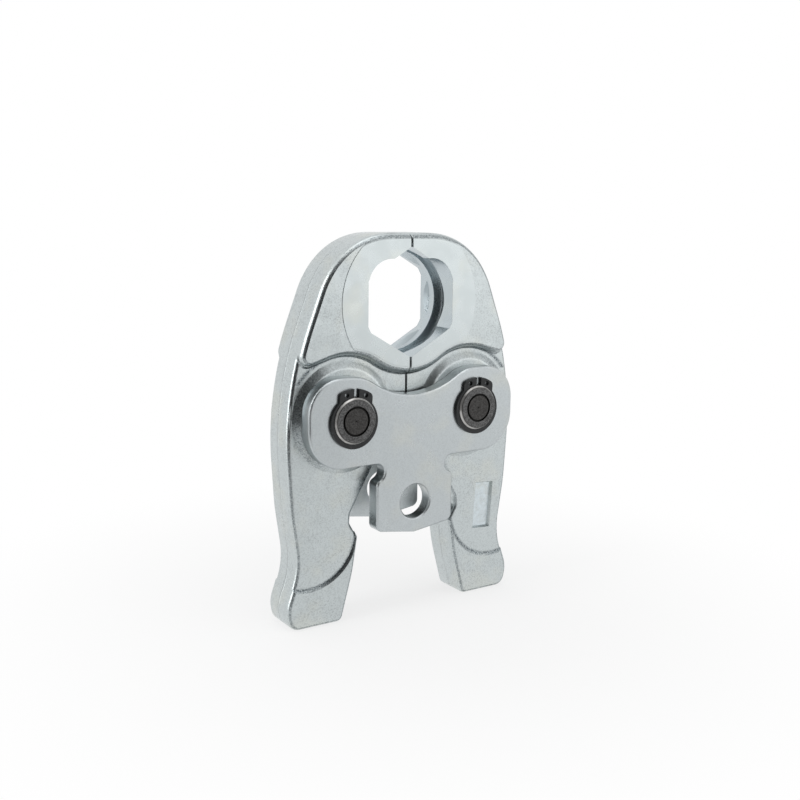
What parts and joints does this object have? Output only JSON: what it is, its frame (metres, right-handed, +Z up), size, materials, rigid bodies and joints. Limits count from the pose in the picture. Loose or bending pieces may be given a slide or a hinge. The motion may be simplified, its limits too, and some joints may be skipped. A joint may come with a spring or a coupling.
{
  "type": "press fitting tool jaw",
  "caption": "Forged jaws that pivot on pins between side plates, with a profiled mouth that presses pipe fittings, a bore for the press tool's locking pin and tails for its rollers.",
  "frame": {"origin": "centre of the tool pin bore, halfway between the two side plates", "axes": "+X towards the right-hand jaw, +Y along the tool pin bore away from the front plate, +Z up from the bore to the pressing mouth"},
  "size_m": [0.1076, 0.0362, 0.154],
  "materials": {
    "forged_zinc": "zinc plated over a forged surface",
    "plate_zinc": "zinc plated over a ground surface",
    "phosphated_steel": "phosphated and oiled",
    "blackened_spring_steel": "blackened",
    "spring_wire": "drawn"
  },
  "bodies": {
    "plates": {"front_side_plate": "plate_zinc", "rear_side_plate": "plate_zinc", "left_pin": "phosphated_steel", "right_pin": "phosphated_steel", "left_front_circlip": "blackened_spring_steel", "right_front_circlip": "blackened_spring_steel", "left_rear_circlip": "blackened_spring_steel", "right_rear_circlip": "blackened_spring_steel", "closing_spring": "spring_wire"},
    "left_jaw": {"left_jaw": "forged_zinc"},
    "right_jaw": {"right_jaw": "forged_zinc"}
  },
  "joints": [
    {"name": "left_pivot", "type": "hinge", "parent": "plates", "child": "left_jaw", "pos_m": [-0.02905, 0, 0.036], "axis": [0, -1, 0], "range_deg": [0, 17.5], "stiffness_Nm_per_rad": 1.3, "springref_deg": -21.2, "deforming": ["closing_spring"]},
    {"name": "right_pivot", "type": "hinge", "parent": "plates", "child": "right_jaw", "pos_m": [0.02905, 0, 0.036], "axis": [0, 1, 0], "range_deg": [0, 17.5], "stiffness_Nm_per_rad": 1.3, "springref_deg": -21.2, "deforming": ["closing_spring"]}
  ]
}
